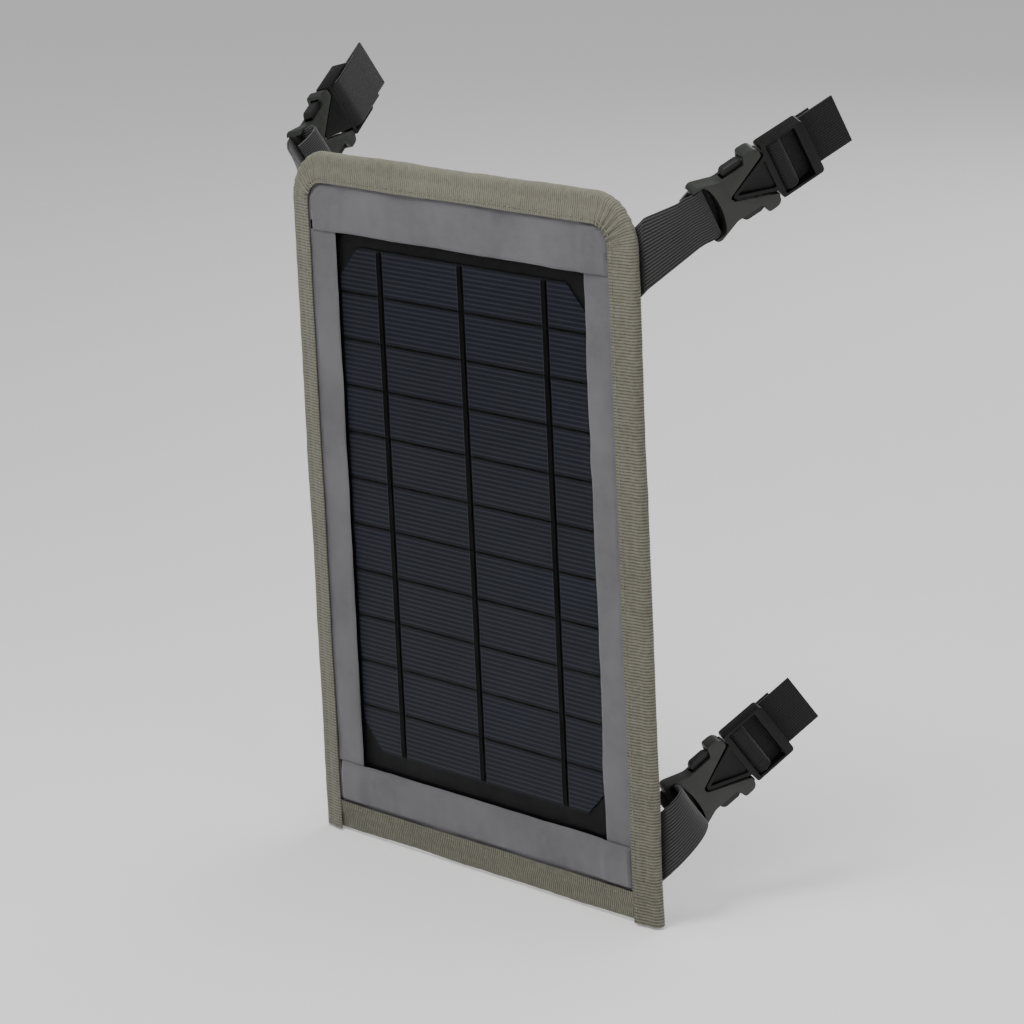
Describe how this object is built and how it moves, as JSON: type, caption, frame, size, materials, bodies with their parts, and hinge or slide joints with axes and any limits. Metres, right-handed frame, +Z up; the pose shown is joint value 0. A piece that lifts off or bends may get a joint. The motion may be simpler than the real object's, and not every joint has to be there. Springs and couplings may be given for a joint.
{
  "type": "solar panel",
  "caption": "Portable solar charging panel in a bound fabric frame, with side-release buckles on webbing straps at its corners and a charging socket on the back.",
  "frame": {"origin": "on the rear face of the back cover, behind the centre of the cells", "axes": "+Z up the panel, -Y out of its front, +X to the right seen from the front"},
  "size_m": [0.2928, 0.0844, 0.3288],
  "materials": {
    "film": "satin, fine texture",
    "cell": "dark, antireflection coated",
    "ribbon": "tinned, darkened",
    "board": "satin",
    "foam": "matt",
    "frame_fabric": "fine plain weave, slight sheen",
    "binding_tape": "grosgrain",
    "webbing": "lengthwise ribs",
    "grey_plastic": "satin",
    "black_plastic": "satin",
    "gasket": "matt",
    "steel": "plain",
    "circuit_board": "satin",
    "ferrite": "matt",
    "tongue": "satin",
    "lens": "clear gloss",
    "lead": "matt"
  },
  "bodies": {
    "panel": {"front_film": "film", "cell_01": "cell", "cell_02": "cell", "cell_03": "cell", "cell_04": "cell", "cell_05": "cell", "cell_06": "cell", "cell_07": "cell", "cell_08": "cell", "cell_09": "cell", "cell_10": "cell", "cell_11": "cell", "bus_ribbon_left": "ribbon", "bus_ribbon_centre": "ribbon", "bus_ribbon_right": "ribbon", "back_board": "board", "foam_pad": "foam", "frame_strip_top": "frame_fabric", "frame_strip_bottom": "frame_fabric", "frame_strip_left": "frame_fabric", "frame_strip_right": "frame_fabric", "binding_main": "binding_tape", "binding_bottom": "binding_tape", "back_cover": "frame_fabric", "junction_box_base": "black_plastic", "junction_box_gasket": "gasket", "junction_box_lid": "black_plastic", "junction_box_screw_left": "steel", "junction_box_screw_right": "steel", "regulator_board": "circuit_board", "regulator_inductor": "ferrite", "usb_socket_shell": "steel", "usb_socket_tongue": "tongue", "charge_light_lens": "lens", "cell_lead": "lead"},
    "strap_top_right": {"strap_top_right": "webbing", "buckle_female_top_right": "grey_plastic"},
    "male_top_right": {"buckle_male_top_right": "black_plastic", "tail_top_right": "webbing"},
    "prong_upper_top_right": {"prong_upper_top_right": "black_plastic"},
    "prong_lower_top_right": {"prong_lower_top_right": "black_plastic"},
    "strap_top_left": {"strap_top_left": "webbing", "buckle_female_top_left": "grey_plastic"},
    "male_top_left": {"buckle_male_top_left": "black_plastic", "tail_top_left": "webbing"},
    "prong_upper_top_left": {"prong_upper_top_left": "black_plastic"},
    "prong_lower_top_left": {"prong_lower_top_left": "black_plastic"},
    "strap_bottom_right": {"strap_bottom_right": "webbing", "buckle_female_bottom_right": "grey_plastic"},
    "male_bottom_right": {"buckle_male_bottom_right": "black_plastic", "tail_bottom_right": "webbing"},
    "prong_upper_bottom_right": {"prong_upper_bottom_right": "black_plastic"},
    "prong_lower_bottom_right": {"prong_lower_bottom_right": "black_plastic"},
    "strap_bottom_left": {"strap_bottom_left": "webbing", "buckle_female_bottom_left": "grey_plastic"},
    "male_bottom_left": {"buckle_male_bottom_left": "black_plastic", "tail_bottom_left": "webbing"},
    "prong_upper_bottom_left": {"prong_upper_bottom_left": "black_plastic"},
    "prong_lower_bottom_left": {"prong_lower_bottom_left": "black_plastic"}
  },
  "joints": [
    {"name": "fold_top_right", "type": "hinge", "parent": "panel", "child": "strap_top_right", "pos_m": [0.1082, 0, 0.124], "axis": [0, 0, 1], "range_deg": [-55, 25]},
    {"name": "release_top_right", "type": "slide", "parent": "strap_top_right", "child": "male_top_right", "axis": [0.3574, 0.8065, 0.471], "range_m": [0, 0.024]},
    {"name": "pinch_top_right", "type": "hinge", "parent": "male_top_right", "child": "prong_upper_top_right", "pos_m": [0.13436, 0.03494, 0.16255], "axis": [0.9323, -0.2781, -0.2313], "range_deg": [0, 7], "stiffness_Nm_per_rad": 0.02},
    {"name": "pinch_lower_top_right", "type": "hinge", "parent": "male_top_right", "child": "prong_lower_top_right", "pos_m": [0.13311, 0.04662, 0.14348], "axis": [-0.9323, 0.2781, 0.2313], "range_deg": [0, 7], "stiffness_Nm_per_rad": 0.02},
    {"name": "fold_top_left", "type": "hinge", "parent": "panel", "child": "strap_top_left", "pos_m": [-0.1082, 0, 0.124], "axis": [0, 0, -1], "range_deg": [-55, 25]},
    {"name": "release_top_left", "type": "slide", "parent": "strap_top_left", "child": "male_top_left", "axis": [-0.3574, 0.8065, 0.471], "range_m": [0, 0.024]},
    {"name": "pinch_top_left", "type": "hinge", "parent": "male_top_left", "child": "prong_upper_top_left", "pos_m": [-0.13436, 0.03494, 0.16255], "axis": [0.9323, 0.2781, 0.2313], "range_deg": [0, 7], "stiffness_Nm_per_rad": 0.02},
    {"name": "pinch_lower_top_left", "type": "hinge", "parent": "male_top_left", "child": "prong_lower_top_left", "pos_m": [-0.13311, 0.04662, 0.14348], "axis": [-0.9323, -0.2781, -0.2313], "range_deg": [0, 7], "stiffness_Nm_per_rad": 0.02},
    {"name": "fold_bottom_right", "type": "hinge", "parent": "panel", "child": "strap_bottom_right", "pos_m": [0.1082, 0, -0.113], "axis": [0, 0, 1], "range_deg": [-60, 0]},
    {"name": "release_bottom_right", "type": "slide", "parent": "strap_bottom_right", "child": "male_bottom_right", "axis": [0.3428, 0.7351, 0.585], "range_m": [0, 0.024]},
    {"name": "pinch_bottom_right", "type": "hinge", "parent": "male_bottom_right", "child": "prong_upper_bottom_right", "pos_m": [0.10881, 0.02963, -0.07726], "axis": [0.9258, -0.3699, -0.0777], "range_deg": [0, 7], "stiffness_Nm_per_rad": 0.02},
    {"name": "pinch_lower_bottom_right", "type": "hinge", "parent": "male_bottom_right", "child": "prong_lower_bottom_right", "pos_m": [0.11237, 0.04236, -0.09534], "axis": [-0.9258, 0.3699, 0.0777], "range_deg": [0, 7], "stiffness_Nm_per_rad": 0.02},
    {"name": "fold_bottom_left", "type": "hinge", "parent": "panel", "child": "strap_bottom_left", "pos_m": [-0.1082, 0, -0.113], "axis": [0, 0, -1], "range_deg": [-60, 0]},
    {"name": "release_bottom_left", "type": "slide", "parent": "strap_bottom_left", "child": "male_bottom_left", "axis": [-0.3428, 0.7351, 0.585], "range_m": [0, 0.024]},
    {"name": "pinch_bottom_left", "type": "hinge", "parent": "male_bottom_left", "child": "prong_upper_bottom_left", "pos_m": [-0.10881, 0.02963, -0.07726], "axis": [0.9258, 0.3699, 0.0777], "range_deg": [0, 7], "stiffness_Nm_per_rad": 0.02},
    {"name": "pinch_lower_bottom_left", "type": "hinge", "parent": "male_bottom_left", "child": "prong_lower_bottom_left", "pos_m": [-0.11237, 0.04236, -0.09534], "axis": [-0.9258, -0.3699, -0.0777], "range_deg": [0, 7], "stiffness_Nm_per_rad": 0.02}
  ],
  "couplings": [
    {"joint": "pinch_lower_top_right", "follows": "pinch_top_right", "ratio": 1},
    {"joint": "pinch_lower_top_left", "follows": "pinch_top_left", "ratio": 1},
    {"joint": "pinch_lower_bottom_right", "follows": "pinch_bottom_right", "ratio": 1},
    {"joint": "pinch_lower_bottom_left", "follows": "pinch_bottom_left", "ratio": 1}
  ]
}
